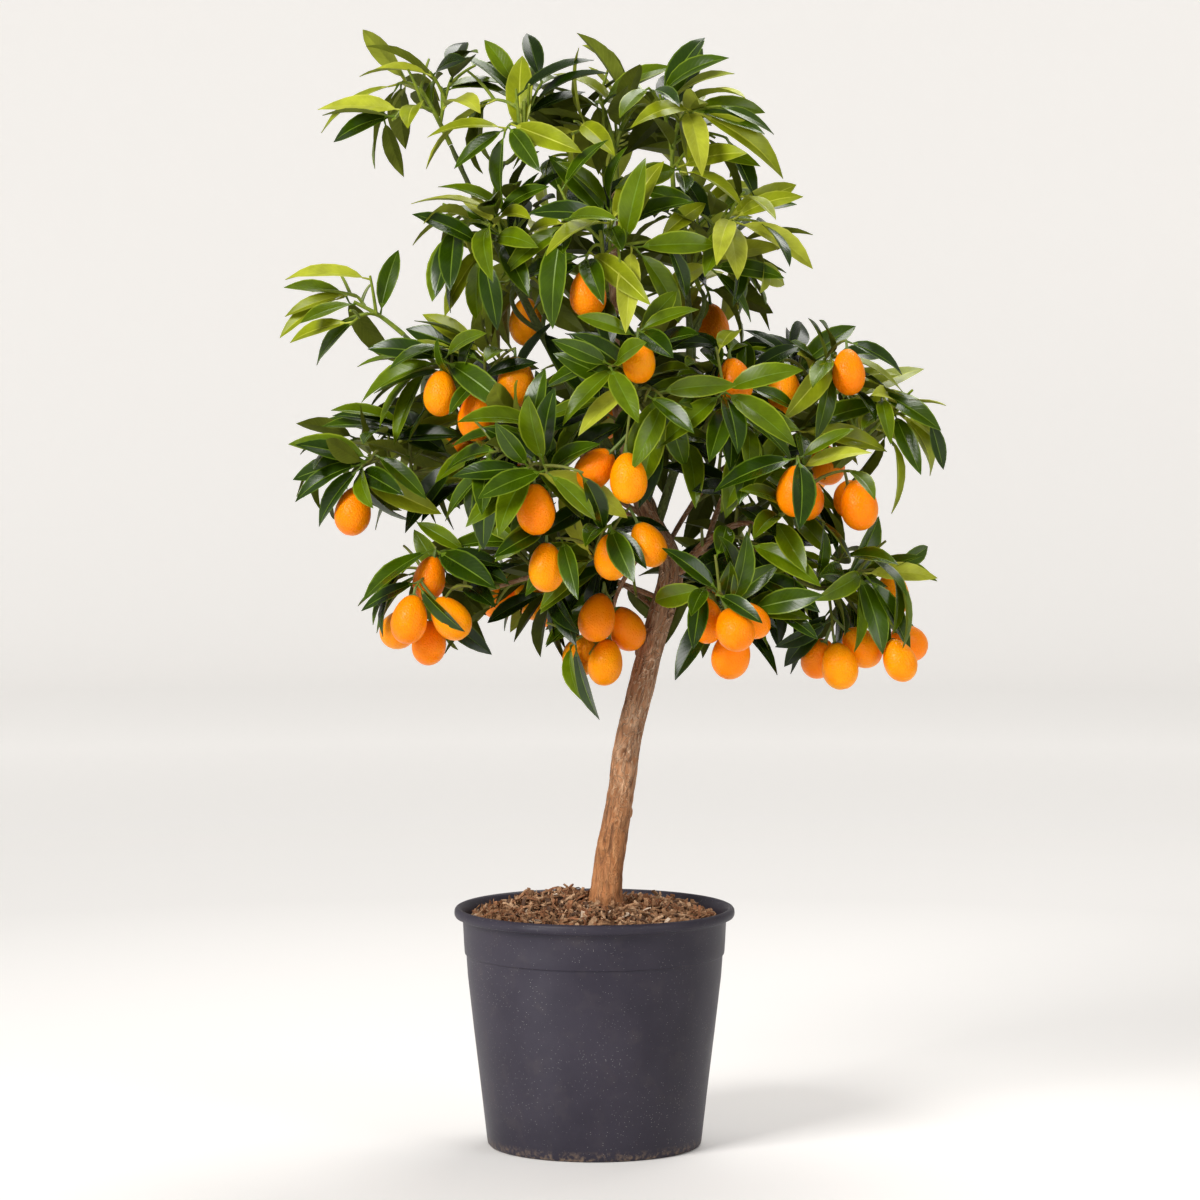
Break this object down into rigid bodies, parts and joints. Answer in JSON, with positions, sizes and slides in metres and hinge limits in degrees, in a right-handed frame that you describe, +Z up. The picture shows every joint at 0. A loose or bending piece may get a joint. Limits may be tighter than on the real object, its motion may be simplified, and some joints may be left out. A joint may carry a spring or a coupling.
{
  "type": "kumquat tree in a pot",
  "caption": "Young kumquat tree on a bare leaning trunk, with an open leafy crown and hanging orange fruit, in a round plastic nursery pot.",
  "frame": {"origin": "middle of the pot's flat underside", "axes": "+Z up along the plant, -Y towards the front of the tree, +X to the right of a viewer in front of it"},
  "size_m": [0.5702, 0.4153, 0.9539],
  "materials": {
    "pot": "matte, faintly dusty",
    "soil": "loose bark chips and fibre",
    "bark": "dry, finely wrinkled bark",
    "foliage": "waxy leaves"
  },
  "bodies": {
    "root": {"pot": "pot", "soil": "soil", "trunk": "bark", "bough_top_left": "bark", "bough_top_left_inner": "bark", "bough_top_right": "bark", "bough_top_back": "bark", "bough_upper_left": "bark", "bough_upper_front": "bark", "bough_upper_right": "bark", "bough_upper_back_left": "bark", "bough_upper_back_right": "bark", "bough_left_sprig": "bark", "bough_left_upper": "bark", "bough_left_outer": "bark", "bough_left_low": "bark", "bough_centre_left": "bark", "bough_centre_front": "bark", "bough_centre_low": "bark", "bough_hanging_sprig": "bark", "bough_mid_right": "bark", "bough_right_upper": "bark", "bough_right_outer": "bark", "bough_right_mid": "bark", "bough_right_low": "bark", "bough_front_low": "bark", "bough_back_left": "bark", "bough_back_middle": "bark", "bough_back_right": "bark", "bough_back_left_low": "bark", "bough_back_right_low": "bark", "top_left": "foliage", "top_left_inner": "foliage", "top_centre": "foliage", "top_right": "foliage", "top_back": "foliage", "upper_left": "foliage", "upper_front": "foliage", "upper_right": "foliage", "upper_back_left": "foliage", "upper_back_right": "foliage", "left_sprig": "foliage", "left_upper": "foliage", "left_outer": "foliage", "left_low": "foliage", "centre_left": "foliage", "centre_front": "foliage", "centre_low": "foliage", "hanging_sprig": "foliage", "mid_right": "foliage", "right_upper": "foliage", "right_outer": "foliage", "right_mid": "foliage", "right_low": "foliage", "front_low": "foliage", "back_left": "foliage", "back_middle": "foliage", "back_right": "foliage", "back_left_low": "foliage", "back_right_low": "foliage"}
  },
  "joints": []
}
